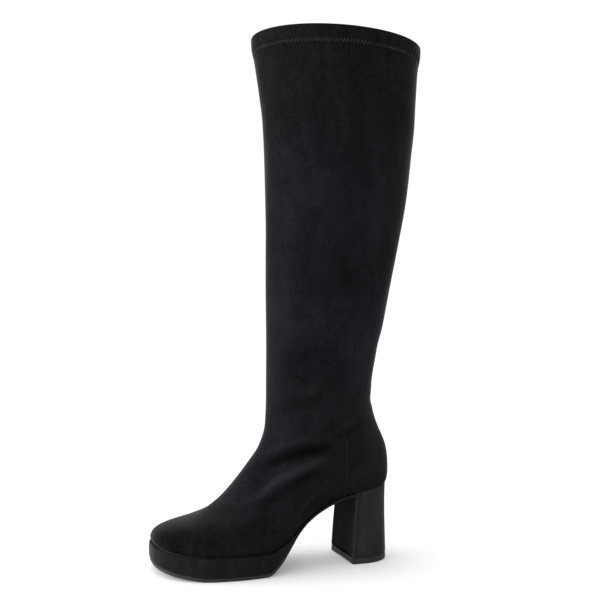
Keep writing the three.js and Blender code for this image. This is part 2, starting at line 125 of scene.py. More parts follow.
# Sides of the platform and the outsole: share of the thickness, and how far the edge is drawn in
PLATFORM_ROWS: Table = {
    "up": (0, 0.02, 0.05, 0.1, 0.17, 0.25, 0.4, 0.55, 0.7, 0.82, 0.9, 0.95, 0.985, 1),
    "draw": (1.2, 0.75, 0.42, 0.2, 0.07, 0, -0.1, -0.14, -0.1, -0.02, 0.05, 0.14, 0.3, 0.55),
}
OUTSOLE_ROWS: Table = {
    "up": (0, 0.05, 0.12, 0.2, 0.3, 0.45, 0.7, 0.9, 1),
    "draw": (1, 0.8, 0.6, 0.44, 0.3, 0.16, 0.05, 0.05, 0.2),
}


class Track:
    """Smooth curve through knots that never overshoots them and runs on straight past its ends."""

    def __init__(self, places: Sequence[float], values: Sequence[float]) -> None:
        """Lays the curve.

        Args:
            places: Knots along the curve, in rising order.
            values: Value at each knot.
        """
        self.places = np.asarray(places, dtype=float)
        self.values = np.asarray(values, dtype=float)
        rates = np.diff(self.values) / np.diff(self.places)
        product = rates[:-1] * rates[1:]
        total = np.where(product > 0, rates[:-1] + rates[1:], 1.0)
        inner = np.where(product > 0, 2 * product / total, 0.0)
        self.slopes = np.concatenate((rates[:1], inner, rates[-1:]))

    def __call__(self, place: np.ndarray | float) -> np.ndarray:
        """Reads the curve.

        Args:
            place: One place or an array of them.

        Returns:
            The values there.
        """
        place = np.asarray(place, dtype=float)
        knot = np.searchsorted(self.places[1:-1], place, side="left")
        span = self.places[knot + 1] - self.places[knot]
        part = (place - self.places[knot]) / span
        inside = np.clip(part, 0, 1)
        rest = 1 - inside
        low, high = self.values[knot], self.values[knot + 1]
        leave, arrive = self.slopes[knot], self.slopes[knot + 1]
        value = low * rest**2 * (1 + 2 * inside) + high * inside**2 * (3 - 2 * inside)
        value = value + span * inside * rest * (leave * rest - arrive * inside)
        return value + leave * np.minimum(part, 0) * span + arrive * np.maximum(part - 1, 0) * span


def tracks(table: Table, key: str) -> SimpleNamespace:
    """Curves through a table's columns, by name, that run along the column key."""
    return SimpleNamespace(**{name: Track(table[key], table[name]) for name in table if name != key})


def round_end(distance: np.ndarray, length: np.ndarray, blunt: np.ndarray) -> np.ndarray:
    """Share of the full width at distances from a rounded end, an ellipse's where blunt is 2."""
    short = np.maximum(0, 1 - distance / length)
    return np.maximum(0, 1 - short**blunt) ** (1 / blunt)


def ease(value: np.ndarray, low: float, high: float) -> np.ndarray:
    """Smooth step from 0 at low to 1 at high."""
    part = np.clip((value - low) / (high - low), 0, 1)
    return part * part * (3 - 2 * part)


def grey(level: float) -> Colour:
    """Neutral colour of one level."""
    return level, level, level


def run_along(points: np.ndarray) -> np.ndarray:
    """Distances along a line of points from its first point to each."""
    return np.concatenate(([0.0], np.cumsum(np.linalg.norm(np.diff(points, axis=0), axis=1))))


def to_frame(points: np.ndarray) -> np.ndarray:
    """Points in millimetres, put in the frame's metres."""
    return (points - np.array((FRAME_X, 0, 0))) * METRE


def put(name: str, data: bpy.types.ID) -> bpy.types.Object:
    """Adds an object to the scene.

    Args:
        name: The object's name.
        data: Its mesh, light or camera.

    Returns:
        The object.
    """
    thing = bpy.data.objects.new(name, data)
    bpy.context.scene.collection.objects.link(thing)
    return thing


def put_form(
    name: str, form: bmesh.types.BMesh, finishes: Sequence[bpy.types.Material]
) -> bpy.types.Object:
    """Adds an object made of a form, which is used up.

    Args:
        name: Name of the object and of its mesh.
        form: The form.
        finishes: Its materials by number.

    Returns:
        The object.
    """
    mesh = bpy.data.meshes.new(name)
    form.to_mesh(mesh)
    form.free()
    for finish in finishes:
        mesh.materials.append(finish)
    return put(name, mesh)


@dataclass
class Last:
    """Form of foot and leg that every piece of the boot is built round."""

    length: float = 225.0
    ball_width: float = 97.0
    seat_height: float = 72.6
    ankle_height: float = 150.0
    leg_axis: float = 68.5
    height: float = 489.0
    collar_depth: float = 171.0
    collar_width: float = 110.0
    ankle_width: float = 68.0
    stack: float = 19.4
    outsole: float = 3.0
    waist_outsole: float = 2.3
    toe_spring: float = 4.5
    gap: float = 0.3
    samples: int = 4001
    travel_samples: int = 1601
    level_nudge: float = 0.05
    angle_nudge: float = 0.01

    def __post_init__(self) -> None:
        """Lays the smooth curves through the tables."""
        self.bottom = tracks(BOTTOM_ROWS, "at")
        self.stacked = tracks(STACK_ROWS, "at")
        self.plan = tracks(PLAN_ROWS, "at")
        self.back = FOOT_RINGS["back"][0] * self.length
        self.front = FOOT_RINGS["front"][0] * self.length
        self.ring = self._rings()
        self.top = len(FOOT_RINGS["up"]) + len(SHAFT_RINGS["up"]) - 1

    def _rings(self) -> SimpleNamespace:
        """Joins the rings of the foot and the shaft.

        Returns:
            Curves over the rings' number, in millimetres and shares.
        """
        foot, shaft = (
            {name: np.array(column, dtype=float) for name, column in table.items()}
            for table in (FOOT_RINGS, SHAFT_RINGS)
        )
        climb = self.height - self.ankle_height
        oval = np.ones(len(shaft["up"]))
        front_up = self.stack + foot["up"] * (self.ankle_height - self.stack)
        back_up = self.seat_height + foot["lift"] * (self.ankle_height - self.seat_height)
        front_up[0] = self.feather(self.front)
        back_up[0] = self.feather(self.back)
        wide = self.ankle_width + shaft["wide"] * (self.collar_width - self.ankle_width)
        columns = {
            "front": (foot["front"] * self.length, self.leg_axis + shaft["front"] * self.collar_depth),
            "back": (foot["back"] * self.length, self.leg_axis - shaft["back"] * self.collar_depth),
            "front_up": (front_up, self.ankle_height + shaft["up"] * climb),
            "back_up": (back_up, self.ankle_height + (shaft["up"] + shaft["rear"]) * climb),
            "half": (foot["half"] * self.ball_width, wide / 2),
        }
        for name, value in (("plan", 0), ("sag", 0), ("nose", 0.5), ("tail", 0.5), ("blunt", 2)):
            columns[name] = (foot[name], value * oval)
        numbers = np.arange(len(foot["up"]) + len(oval))
        return SimpleNamespace(**{name: Track(numbers, np.concatenate(c)) for name, c in columns.items()})

    def feather(self, x: np.ndarray | float) -> np.ndarray:
        """Height of the feather line, where the upper's lower edge lies.

        Args:
            x: Lengths along the foot.

        Returns:
            The height at each length.
        """
        at = np.asarray(x) / self.length
        rise = (self.seat_height - self.stack) * self.bottom.rise(at)
        return self.stack + rise + self.toe_spring * self.bottom.spring(at)

    def seat(self, x: np.ndarray | float) -> np.ndarray:
        """Height at lengths x at which what lies under the last ends."""
        slope = self.feather(x + 0.5) - self.feather(x - 0.5)
        return self.feather(x) - self.gap * np.hypot(1, slope)

    def under(self, x: np.ndarray | float) -> np.ndarray:
        """Height of the outsole's lower face.

        Args:
            x: Lengths along the foot.

        Returns:
            The height at each length.
        """
        thin = self.waist_outsole + self.gap
        share = self.stacked.share(np.asarray(x) / self.length)
        return self.feather(x) - thin - (self.stack - thin) * share

    def outsole_top(self, x: np.ndarray | float) -> np.ndarray:
        """Height of the outsole's upper face at lengths x."""
        slope = self.under(x + 0.5) - self.under(x - 0.5)
        return np.minimum(self.under(x) + self.outsole * np.hypot(1, slope), self.seat(x))

    def bare(self, level: np.ndarray, angle: np.ndarray) -> np.ndarray:
        """Points of the upper's plain outer face.

        Args:
            level: Ring numbers, whole or between two rings.
            angle: Angles from the toe round by the outer side.

        Returns:
            The points, with x, y and z along the last axis.
        """
        ring = self.ring
        share = (1 + np.cos(angle)) / 2
        outer = np.sin(angle) >= 0
        back = ring.back(level)
        depth = ring.front(level) - back
        blunt = ring.blunt(level)
        ends = round_end((1 - share) * depth, ring.nose(level) * depth, blunt)
        ends = ends * round_end(share * depth, ring.tail(level) * depth, blunt)
        foot = ring.plan(level)
        width = self.ball_width * np.where(outer, self.plan.outer(share), self.plan.inner(share))
        reach = (foot * width + (1 - foot) * ring.half(level)) * ends
        straight = ring.back_up(level) + (ring.front_up(level) - ring.back_up(level)) * share
        first = ring.back_up(0) + (ring.front_up(0) - ring.back_up(0)) * share
        sag = self.feather(self.back + (self.front - self.back) * share) - first
        x = back + depth * share
        y = self.ball_width * self.plan.axis(share) * foot + np.where(outer, reach, -reach)
        return np.stack(np.broadcast_arrays(x, y, straight + ring.sag(level) * sag), axis=-1)

    def normal(self, level: np.ndarray, angle: np.ndarray) -> np.ndarray:
        """Outward directions of the upper's outer face.

        Args:
            level: Ring numbers.
            angle: Angles from the toe round by the outer side.

        Returns:
            Directions of length 1.
        """
        low = np.maximum(0, level - self.level_nudge)
        high = np.minimum(self.top, level + self.level_nudge)
        along = self.bare(level, angle + self.angle_nudge) - self.bare(level, angle - self.angle_nudge)
        climb = self.bare(high, angle) - self.bare(low, angle)
        across = np.cross(along, climb)
        return across / np.linalg.norm(across, axis=-1, keepdims=True)

    def point(self, level: np.ndarray, angle: np.ndarray, out: np.ndarray | float) -> np.ndarray:
        """Points at distances outside the upper's plain outer face, negative inside the wall."""
        level, angle, out = np.broadcast_arrays(level, angle, out)
        return self.bare(level, angle) + self.normal(level, angle) * out[..., None]

    def level_at(self, height: np.ndarray | float) -> np.ndarray:
        """Ring numbers at which the front of the upper reaches heights."""
        levels = np.linspace(0, self.top, self.samples)
        return np.interp(height, self.ring.front_up(levels), levels)

    def angle_at(self, level: np.ndarray, x: np.ndarray | float) -> np.ndarray:
        """Angles on the outer side at which rings cross lengths.

        Args:
            level: Ring numbers.
            x: Lengths along the foot.

        Returns:
            The angles.
        """
        back = self.ring.back(level)
        share = (x - back) / (self.ring.front(level) - back)
        return np.arccos(np.clip(2 * share - 1, -1, 1))

    def even_levels(self, count: int) -> np.ndarray:
        """Ring numbers that divide the upper's climb into even steps.

        Args:
            count: Number of steps.

        Returns:
            The levels from the feather line to the collar.
        """
        levels = np.linspace(0, self.top, self.travel_samples)
        travel = np.zeros(len(levels) - 1)
        for angle in (0.0, 1.2, 2.2, math.pi):
            line = self.bare(levels, np.full_like(levels, angle))
            travel += np.linalg.norm(np.diff(line, axis=0), axis=1)
        run = np.concatenate(([0.0], np.cumsum(travel)))
        return np.interp(np.linspace(0, run[-1], count + 1), run, levels)

    def edge(self, x: np.ndarray, side: int, out: np.ndarray | float) -> np.ndarray:
        """Sideways place of the sole's edge.

        Args:
            x: Lengths along the foot.
            side: 1 for the outer side and -1 for the inner side.
            out: How far the edge stands outside the last.

        Returns:
            The edge's y at each length.
        """
        foot = self.front - self.back
        share = np.minimum(1, (x - self.back) / foot)
        width = self.ball_width * (self.plan.outer(share) if side > 0 else self.plan.inner(share))
        ends = round_end(self.front + out - x, FOOT_RINGS["nose"][0] * foot + out, FOOT_RINGS["blunt"][0])
        return self.ball_width * self.plan.axis(share) + side * (width + out) * ends


def wrap(
    points: np.ndarray,
    finish: Callable[[int, int], int] = lambda row, column: 0,
    painted_light: np.ndarray | float = 0.0,
) -> bmesh.types.BMesh:
    """Bends a flat grid over rows of points and joins it where it meets itself.

    Args:
        points: Rows by columns by x, y, z in millimetres.
        finish: Gives the material number of the face above a row and after a column.
        painted_light: Painted light at each point, from -1 for full painted shade, as deep in a fold, to 1
            for a full painted highlight, as on a ridge.

    Returns:
        The skin in the frame's metres, with its faces pointing out.
    """
    rows, columns = points.shape[:2]
    places = to_frame(points)
    painted_lights = np.broadcast_to(painted_light, (rows, columns))
    form = bmesh.new()
    bmesh.ops.create_grid(form, x_segments=columns - 1, y_segments=rows - 1, size=1.0)
    reach = max(vertex.co.x for vertex in form.verts)
    painted_light_layer = form.verts.layers.float.new(PAINTED_LIGHT_KEY)

    def cell(place: Vector) -> tuple[float, float]:
        """Row and column at a place of the flat grid."""
        return (place.y / reach + 1) / 2 * (rows - 1), (place.x / reach + 1) / 2 * (columns - 1)

    for face in form.faces:
        row, column = cell(face.calc_center_median())
        face.material_index = finish(int(row), int(column))
    for vertex in form.verts:
        row, column = (round(number) for number in cell(vertex.co))
        vertex.co = places[row, column]
        vertex[painted_light_layer] = painted_lights[row, column]
    bmesh.ops.remove_doubles(form, verts=form.verts, dist=MERGE)
    bmesh.ops.dissolve_degenerate(form, edges=form.edges, dist=MERGE / 4)
    bmesh.ops.recalc_face_normals(form, faces=form.faces)
    return form


class Socket:
    """Value, colour or direction inside a material, written as plain arithmetic."""

    def __init__(self, paint: "Paint", link: bpy.types.NodeSocket) -> None:
        """Holds the output socket of a node.

        Args:
            paint: Material that the node is in.
            link: The output socket.
        """
        self.paint = paint
        self.link = link

    def __add__(self, other: "Socket | float") -> "Socket":
        """Sum."""
        return self.paint.maths("ADD", self, other)

    def __sub__(self, other: "Socket | float") -> "Socket":
        """Difference."""
        return self.paint.maths("SUBTRACT", self, other)

    def __rsub__(self, other: float) -> "Socket":
        """Difference from a number."""
        return self.paint.maths("SUBTRACT", other, self)

    def __mul__(self, other: "Socket | float") -> "Socket":
        """Product."""
        return self.paint.maths("MULTIPLY", self, other)

    __radd__ = __add__
    __rmul__ = __mul__


class Paint:
    """Node tree that is being written, of a material or of the world."""

    def __init__(self, owner: bpy.types.Material | bpy.types.World) -> None:
        """Starts an empty tree.

        Args:
            owner: What the tree belongs to.
        """
        self.owner = owner
        self.owner.use_nodes = True
        self.tree = self.owner.node_tree
        self.tree.nodes.clear()

    def node(
        self, kind: str, inputs: Mapping[str | int, object], output: str | int = 0, **settings: object
    ) -> Socket:
        """Adds one node.

        Args:
            kind: The node's type.
            inputs: Values or links of its sockets, by name or number.
            output: The output that is used.
            settings: Its settings, which are made first.

        Returns:
            That output.
        """
        node = self.tree.nodes.new(kind)
        for name, value in settings.items():
            setattr(node, name, value)
        for name, value in inputs.items():
            if isinstance(value, Socket):
                self.tree.links.new(value.link, node.inputs[name])
            else:
                node.inputs[name].default_value = value
        return Socket(self, node.outputs[output])

    def maths(self, operation: str, first: Socket | float, second: Socket | float) -> Socket:
        """Result of a Math node on two values."""
        return self.node("ShaderNodeMath", {0: first, 1: second}, operation=operation)

    def place(self, stretch: Place = (1.0, 1.0, 1.0)) -> Socket:
        """Object coordinates, stretched along the axes."""
        where = self.node("ShaderNodeTexCoord", {}, "Object")
        return self.node("ShaderNodeMapping", {"Vector": where, "Scale": stretch})

    def patches(self, patches: Sequence[Patch]) -> Socket | float:
        """Sum of soft patches, each strongest at its centre and gone beyond its reach.

        Args:
            patches: Centre, reach and strength of each.

        Returns:
            The sum.
        """
        total = 0.0
        for centre, reach, strength in patches:
            inputs = {0: self.place(), 1: centre}
            away = self.node("ShaderNodeVectorMath", inputs, "Value", operation="DISTANCE")
            total = (1 - self.ramp(away, 0.0, reach)) * strength + total
        return total

    def noise(self, where: Socket, scale: float, detail: float, rough: float = 0.5) -> Socket:
        """Soft noise from 0 to 1, with scale lumps to a metre and finer layers of strength rough."""
        inputs = {"Vector": where, "Scale": scale, "Detail": detail, "Roughness": rough}
        return self.node("ShaderNodeTexNoise", inputs)

    def ramp(self, value: Socket, low: float, high: float, floor: float = 0.0, roof: float = 1.0) -> Socket:
        """Value stretched from low..high to floor..roof, smoothly and without passing them."""
        inputs = {"Value": value, "From Min": low, "From Max": high, "To Min": floor, "To Max": roof}
        return self.node("ShaderNodeMapRange", inputs, interpolation_type="SMOOTHSTEP")

    def blend(self, share: Socket | float, first: Colour | Socket, second: Colour | Socket) -> Socket:
        """Colour between two colours, plain or worked out by nodes, by the share of the second."""
        under, over = (tone if isinstance(tone, Socket) else (*tone, 1.0) for tone in (first, second))
        return self.node("ShaderNodeMix", {0: share, 6: under, 7: over}, 2, data_type="RGBA")

    def painted_light(self, colour: Socket, hollow: Colour, painted_highlight: Colour) -> Socket:
        """Colour turned to hollow, the painted shade, where the painted light kept at the vertices is -1,
        and to the painted highlight where it is 1.
        """
        share = self.node("ShaderNodeAttribute", {}, "Fac", attribute_name=PAINTED_LIGHT_KEY)
        return self.blend(share * -1, self.blend(share, colour, painted_highlight), hollow)

    def bump(self, height: Socket, strength: float, depth: float) -> Socket:
        """Surface direction tilted by a height map, whose step from 0 to 1 is depth in metres."""
        return self.node("ShaderNodeBump", {"Strength": strength, "Distance": depth, "Height": height})

    def close(self, kind: str, shader: Socket) -> None:
        """Leads the shader to the tree's output node."""
        self.tree.links.new(shader.link, self.tree.nodes.new(kind).inputs["Surface"])

    def surface(self, inputs: Mapping[str, object]) -> bpy.types.Material:
        """Ends a material with its surface shader, and gives the material."""
        self.close("ShaderNodeOutputMaterial", self.node("ShaderNodeBsdfPrincipled", inputs))
        return self.owner


# Places of the upper with painted light or, below 0, painted shade, and where it looks cooler
PAINTED_LIGHT_PATCHES: tuple[Patch, ...] = (
    ((-0.078, 0.02, 0.098), 0.05, 0.3), ((-0.074, 0.016, 0.185), 0.1, 0.55),
    ((0.018, 0.02, 0.23), 0.16, 0.42), ((-0.04, 0.05, 0.36), 0.09, 0.14), ((-0.03, 0.04, 0.24), 0.11, -0.4),
    ((-0.02, 0.035, 0.17), 0.06, -0.36), ((0.11, 0.012, 0.045), 0.06, -0.36),
)
COOLED: tuple[Patch, ...] = (((0.0, 0.04, 0.27), 0.3, 1.3), ((0.04, 0.04, 0.08), 0.08, 0.9))


@dataclass(frozen=True)
class Suede:
    """Black microsuede: a short brushed nap over a knit, with painted light and painted shade laid into its
    colour.
    """

    name: str
    deep: Colour
    worn: Colour
    # Colours of the painted shade (hollow) and of the painted highlight, reached where the vertices'
    # painted light is -1 and 1
    hollow: Colour = (0.0006, 0.0006, 0.0008)
    painted_highlight: Colour = (0.021, 0.0205, 0.0240)
    cool: Colour = (0.0138, 0.0135, 0.0182)
    tone_and_painted_light: tuple[Patch, ...] = ()
    cooled: tuple[Patch, ...] = ()
    sheen: float = 0.19
    sheen_roughness: float = 0.3
    specular: float = 0.03
    fibre: float = 2300.0
    tuft: float = 620.0
    patch: float = 34.0
    fibre_share: float = 0.17
    tuft_share: float = 0.3
    patch_share: float = 0.25
    streak_share: float = 0.15
    nap_depth: float = 0.00016

    def material(self) -> bpy.types.Material:
        """Node material of the nap.

        Returns:
            The material.
        """
        paint = Paint(bpy.data.materials.new(self.name))
        fibres = paint.noise(paint.place(), self.fibre, 2.0, 0.6)
        tufts = paint.noise(paint.place(), self.tuft, 3.0, 0.6)
        patches = paint.noise(paint.place((1.0, 1.0, 0.45)), self.patch, 4.0, 0.62)
        streaks = paint.noise(paint.place((1.0, 1.0, 0.6)), self.patch * 4, 2.0)
        # Random tone of the nap plus the patches of painted light and painted shade
        tone_and_painted_light = paint.ramp(patches, 0.36, 0.68) * self.patch_share + paint.patches(self.tone_and_painted_light)
        tone_and_painted_light = tone_and_painted_light + paint.ramp(streaks, 0.36, 0.68) * self.streak_share
        grain = paint.ramp(tufts, 0.36, 0.64) * self.tuft_share
        grain = grain + paint.ramp(fibres, 0.34, 0.66) * self.fibre_share
        worn = paint.blend(paint.patches(self.cooled), self.worn, self.cool)
        # Painted shade and painted highlight from the vertices' painted light, over the nap's colour
        colour = paint.painted_light(paint.blend(tone_and_painted_light + grain, self.deep, worn), self.hollow, self.painted_highlight)
        nap = fibres * 0.6 + tufts * 0.8 + streaks * 0.5
        return paint.surface({
            "Base Color": colour,
            "Roughness": paint.ramp(patches, 0.3, 0.7, 0.96, 0.86),
            "IOR": 1.4,
            "Specular IOR Level": self.specular,
            "Sheen Weight": self.sheen,
            "Sheen Roughness": self.sheen_roughness,
            "Sheen Tint": (1.0, 0.98, 1.0, 1.0),
            "Normal": paint.bump(nap, 0.8, self.nap_depth),
        })


@dataclass(frozen=True)
class Rubber:
    """Moulded black rubber with a fine satin grain and dust in its scuffs."""

    name: str
    deep: Colour
    dusty: Colour
    shine: float
    # Colour of the painted shade that the outsole's waist carries
    hollow: Colour = grey(0.004)
    specular: float = 0.14
    grain: float = 1400.0

    def material(self) -> bpy.types.Material:
        """Node material of the rubber.

        Returns:
            The material.
        """
        paint = Paint(bpy.data.materials.new(self.name))
        pores = paint.noise(paint.place(), self.grain, 3.0, 0.6)
        scuffs = paint.noise(paint.place((0.35, 0.35, 1.6)), 160.0, 4.0, 0.65)
        dust = paint.ramp(scuffs, 0.46, 0.78) * 0.7 + paint.ramp(pores, 0.35, 0.75) * 0.25
        # Darkened to hollow where the vertices carry painted shade
        return paint.surface({
            "Base Color": paint.painted_light(paint.blend(dust, self.deep, self.dusty), self.hollow, self.dusty),
            "Roughness": paint.ramp(scuffs, 0.3, 0.7, self.shine, self.shine + 0.18),
            "IOR": 1.48,
            "Specular IOR Level": self.specular,
            "Normal": paint.bump(pores + scuffs * 0.5, 0.5, 0.00008),
        })


@dataclass(frozen=True)
class Lining:
    """Dark knitted lining cloth with fine level courses."""

    name: str = "dark_lining"
    deep: Colour = (0.012, 0.012, 0.013)
    light: Colour = (0.038, 0.038, 0.041)
    stitch: float = 900.0

    def material(self) -> bpy.types.Material:
        """Node material of the knit.

        Returns:
            The material.
        """
        paint = Paint(bpy.data.materials.new(self.name))
        inputs = {"Vector": paint.place(), "Scale": self.stitch / 3.2, "Distortion": 1.5, "Detail": 2.0}
        courses = paint.node("ShaderNodeTexWave", inputs, 1, wave_type="BANDS", bands_direction="Z")
        fluff = paint.noise(paint.place(), self.stitch, 3.0, 0.6)
        knit = courses * 0.5 + fluff * 0.5
        return paint.surface({
            "Base Color": paint.blend(paint.ramp(knit, 0.25, 0.8), self.deep, self.light),
            "Roughness": paint.ramp(fluff, 0.3, 0.7, 0.92, 0.8),
            "Specular IOR Level": 0.2,
            "Sheen Weight": 0.15,
            "Sheen Roughness": 0.5,
            "Normal": paint.bump(knit, 0.7, 0.0002),
        })


@dataclass(frozen=True)
class Thread:
    """Spun black polyester sewing thread, whose lighter colour where the twist and fluff show paints the
    thread's sheen.
    """

    name: str = "black_thread"
    deep: Colour = (0.006, 0.006, 0.007)
    # Painted sheen of the thread
    light: Colour = (0.05, 0.05, 0.054)
    twist: float = 5200.0
    fluff: float = 90.0

    def material(self) -> bpy.types.Material:
        """Node material of the thread.

        Returns:
            The material.
        """
        paint = Paint(bpy.data.materials.new(self.name))
        twist = paint.noise(paint.place(), self.twist, 1.0)
        fluff = paint.noise(paint.place((1.0, 1.0, 0.3)), self.fluff, 2.0)
        shows = paint.ramp(twist, 0.3, 0.7) * 0.3 + paint.ramp(fluff, 0.44, 0.6) * 0.7
        return paint.surface({
            "Base Color": paint.blend(shows, self.deep, self.light),
            "Roughness": paint.ramp(twist, 0.3, 0.7, 0.6, 0.75),
            "Specular IOR Level": 0.4,
            "Sheen Weight": 0.2,
            "Normal": paint.bump(twist, 0.6, 0.0001),
        })


class Slot(Enum):
    """Material slots that are named in the log for each piece."""

    SUEDE = "suede"
    LINING = "lining"
    RUBBER = "sole_rubber"


class Lie(Enum):
    """Whether a fold sinks into the suede or stands proud of it."""

    TROUGH = -1.0
    RIDGE = 1.0


@dataclass(frozen=True)
class Fold:
    """Soft fold of the upper along a short path, with a height, a width and painted light that fade at its
    ends.
    """

    lie: Lie
    height: float
    width: float
    path: tuple[Place, ...]
    fade: float = 0.3
    # Painted light per millimetre of lift: painted highlight on a ridge and painted shade in a trough, the
    # other way round when negative
    painted_light: float = 0.24

    def lift(self, points: np.ndarray) -> np.ndarray:
        """How far the fold moves the upper's face.

        Args:
            points: Points of the plain face.

        Returns:
            Distances outwards in millimetres.
        """
        knots = np.array(self.path)
        run = run_along(knots)
        nearest = np.full(points.shape[:-1], np.inf)
        along = np.zeros(points.shape[:-1])
        for start, end, step, before in zip(knots[:-1], knots[1:], np.diff(run), run[:-1]):
            part = np.clip((points - start) @ (end - start) / step**2, 0, 1)
            away = np.linalg.norm(points - start - part[..., None] * (end - start), axis=-1)
            closer = away < nearest
            nearest = np.where(closer, away, nearest)
            along = np.where(closer, (before + part * step) / run[-1], along)
        ends = ease(np.minimum(along, 1 - along), -0.02, self.fade)
        return self.lie.value * self.height * ends * np.exp(-((nearest / self.width) ** 2))


# Folds where the foot bends into the leg, at the ankle and along the shaft
FOLDS: tuple[Fold, ...] = (
    Fold(Lie.TROUGH, 3.6, 6.0, ((134, 13, 89), (119.2, 26.3, 95.5), (102.7, 33.2, 101.9),
                                (85.2, 36.7, 105.2), (68, 36.4, 107.2), (60, 35, 108)), painted_light=0.22),
    Fold(Lie.RIDGE, 1.3, 4.6, ((152, 20, 52), (143, 28, 60), (133, 33.7, 67.6), (118, 35.8, 79))),
    Fold(Lie.RIDGE, 2.9, 4.2, ((136, 32, 65), (133, 33.7, 67.6), (117.3, 35.8, 79.3),
                               (99.6, 38.3, 87.6), (81, 37.9, 95.5), (66, 36.5, 102)), painted_light=0.24),
    Fold(Lie.RIDGE, 0.9, 4.5, ((101, 36, 42), (97.9, 36.2, 45.3), (87.3, 33.9, 57.4), (80.5, 33, 63.3),
                               (74, 35, 72)), painted_light=-0.4),
    Fold(Lie.TROUGH, 2.0, 5.0, ((140, 38, 53), (127.6, 40.5, 61.6), (109.5, 40.7, 72.7), (88.8, 39.3, 84.6),
                                (72, 37.7, 93))),
    Fold(Lie.RIDGE, 1.3, 6.0, ((133, 8, 99), (120, 24, 104), (104, 31, 110), (88, 34, 114), (72, 35, 118))),
    Fold(Lie.TROUGH, 1.5, 4.0, ((88, 33, 118), (75.2, 35.3, 121.6), (63, 35, 127), (55.5, 33.8, 131))),
    Fold(Lie.TROUGH, 1.0, 3.2, ((71, 36, 113.5), (58, 34, 118), (45.2, 32, 123), (34, 28, 129))),
    Fold(Lie.RIDGE, 0.9, 3.6, ((66, 35, 123), (54, 33, 126.5), (42, 30, 132))),
    Fold(Lie.RIDGE, 1.0, 5.0, ((100, 26, 149), (96.6, 28.5, 152.8), (88.1, 31.5, 157.3), (77, 33.5, 162))),
    Fold(Lie.TROUGH, 1.2, 6.0, ((112, 12, 141), (100, 27, 142), (86, 32, 146), (70, 34, 152))),
    Fold(Lie.TROUGH, 0.8, 9.0, ((116, 8, 176), (104, 28, 182), (84, 34, 192), (62, 35, 205))),
    Fold(Lie.TROUGH, 3.6, 5.8, ((139, -16, 84), (130, -26, 89), (116, -34, 95), (98, -37, 101),
                                (80, -36, 106), (66, -35, 108))),
    Fold(Lie.RIDGE, 2.6, 5.4, ((140, -32, 60), (128, -36, 71), (112, -37, 81), (94, -37, 90),
                               (78, -36, 97))),
    Fold(Lie.TROUGH, 1.7, 5.0, ((134, -37, 55), (118, -37, 67), (100, -35, 78), (82, -34, 88))),
    Fold(Lie.TROUGH, 1.3, 4.0, ((86, -33, 119), (72, -34, 124), (58, -33, 130), (46, -31, 134))),
    Fold(Lie.TROUGH, 0.9, 5.0, ((36, 22, 142), (24, 10, 147), (21, -6, 148), (30, -20, 143))),
    Fold(Lie.TROUGH, 0.6, 7.5, ((16, 18, 196), (7, 6, 201), (8, -12, 200), (18, -24, 196))),
    Fold(Lie.TROUGH, 0.9, 13.0, ((70, 42, 300), (60, 45, 340), (48, 49, 380), (40, 51, 420))),
    Fold(Lie.TROUGH, 0.7, 12.0, ((98, 26, 250), (92, 34, 290), (88, 38, 330))),
    Fold(Lie.RIDGE, 0.7, 14.0, ((30, 44, 260), (20, 44, 320), (12, 44, 380))),
)


@dataclass(frozen=True)
class Hem:
    """Folded hem: a soft band round the collar, pinched by its stitches near its lower edge."""

    depth: float = 17.0
    step: float = 0.12
    swell: float = 0.6
    line: float = 15.0
    pinch: float = 0.6
    pinch_width: float = 1.3

    def out(self, drop: np.ndarray | float) -> np.ndarray:
        """How far the hem stands outside the shaft.

        Args:
            drop: Distances below the rim.

        Returns:
            Distances outwards in millimetres.
        """
        band = self.step * ease(-np.asarray(drop), -self.depth - 0.3, 0.6 - self.depth)
        swell = self.swell * np.sin(math.pi * np.clip(1 - drop / self.depth, 0, 1))
        return band + swell - self.pinch * np.exp(-(((drop - self.line) / self.pinch_width) ** 2))


class Row(NamedTuple):
    """One row of the upper's wall: where it lies, whether it is outside and whether lining starts there."""

    level: float
    out: float
    outer: bool = False
    lined: bool = False


